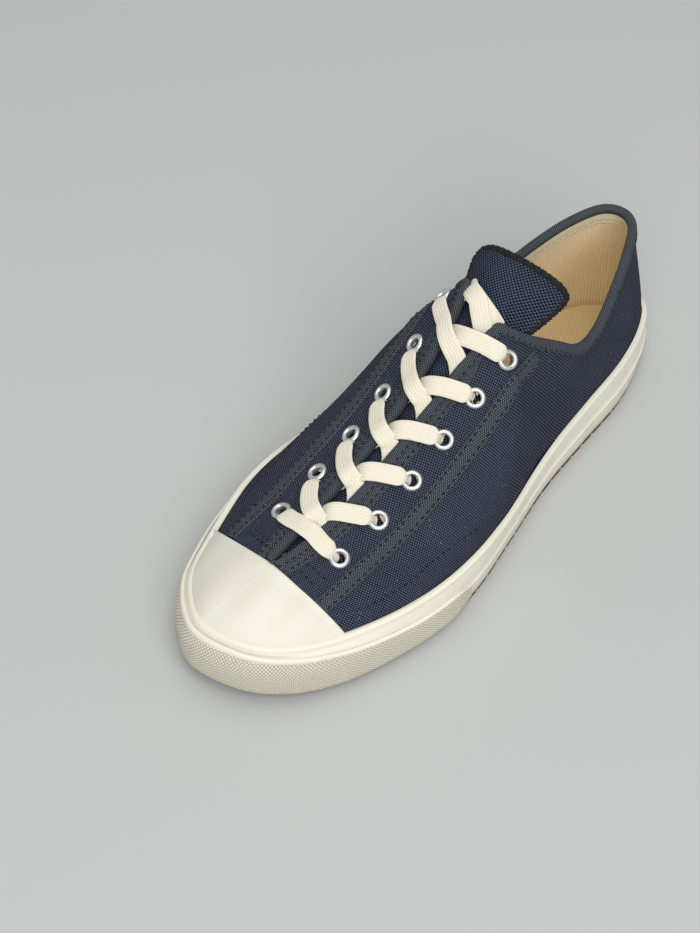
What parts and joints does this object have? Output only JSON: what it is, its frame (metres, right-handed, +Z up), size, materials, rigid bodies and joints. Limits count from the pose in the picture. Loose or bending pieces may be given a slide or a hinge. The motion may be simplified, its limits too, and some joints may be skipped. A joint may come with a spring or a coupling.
{
  "type": "canvas sneaker",
  "caption": "Low lace-up canvas sneaker for the left foot, with a rubber band round the sole, a rubber toe cap and a textured toe bumper.",
  "frame": {"origin": "centre of the overall box's bottom, on the ground", "axes": "+Z up, toe towards -Y, outer (lateral) side towards +X"},
  "size_m": [0.1148, 0.2936, 0.1197],
  "materials": {
    "canvas": "matt plain-weave cotton canvas",
    "tape": "matt woven cotton tape",
    "rubber": "smooth, slightly glossy",
    "tread": "matt brown rubber",
    "lining": "matt ribbed cloth",
    "lace": "matt flat-woven cotton",
    "metal": "polished"
  },
  "bodies": {
    "root": {"outsole": "tread", "foxing": "rubber", "toe_bumper": "rubber", "toe_cap": "rubber", "upper": "canvas", "collar_binding": "tape", "seam_tape_lateral": "tape", "seam_tape_medial": "tape", "backstay": "tape", "insole": "lining", "tongue": "canvas", "tongue_edging": "tape", "lace_bar": "lace", "lace_crossing_1": "lace", "lace_crossing_2": "lace", "lace_crossing_3": "lace", "lace_crossing_4": "lace", "lace_crossing_5": "lace", "lace_crossing_6": "lace", "eyelet_lateral_1": "metal", "eyelet_lateral_2": "metal", "eyelet_lateral_3": "metal", "eyelet_lateral_4": "metal", "eyelet_lateral_5": "metal", "eyelet_lateral_6": "metal", "eyelet_medial_1": "metal", "eyelet_medial_2": "metal", "eyelet_medial_3": "metal", "eyelet_medial_4": "metal", "eyelet_medial_5": "metal", "eyelet_medial_6": "metal", "vent_1": "metal", "vent_2": "metal"}
  },
  "joints": []
}
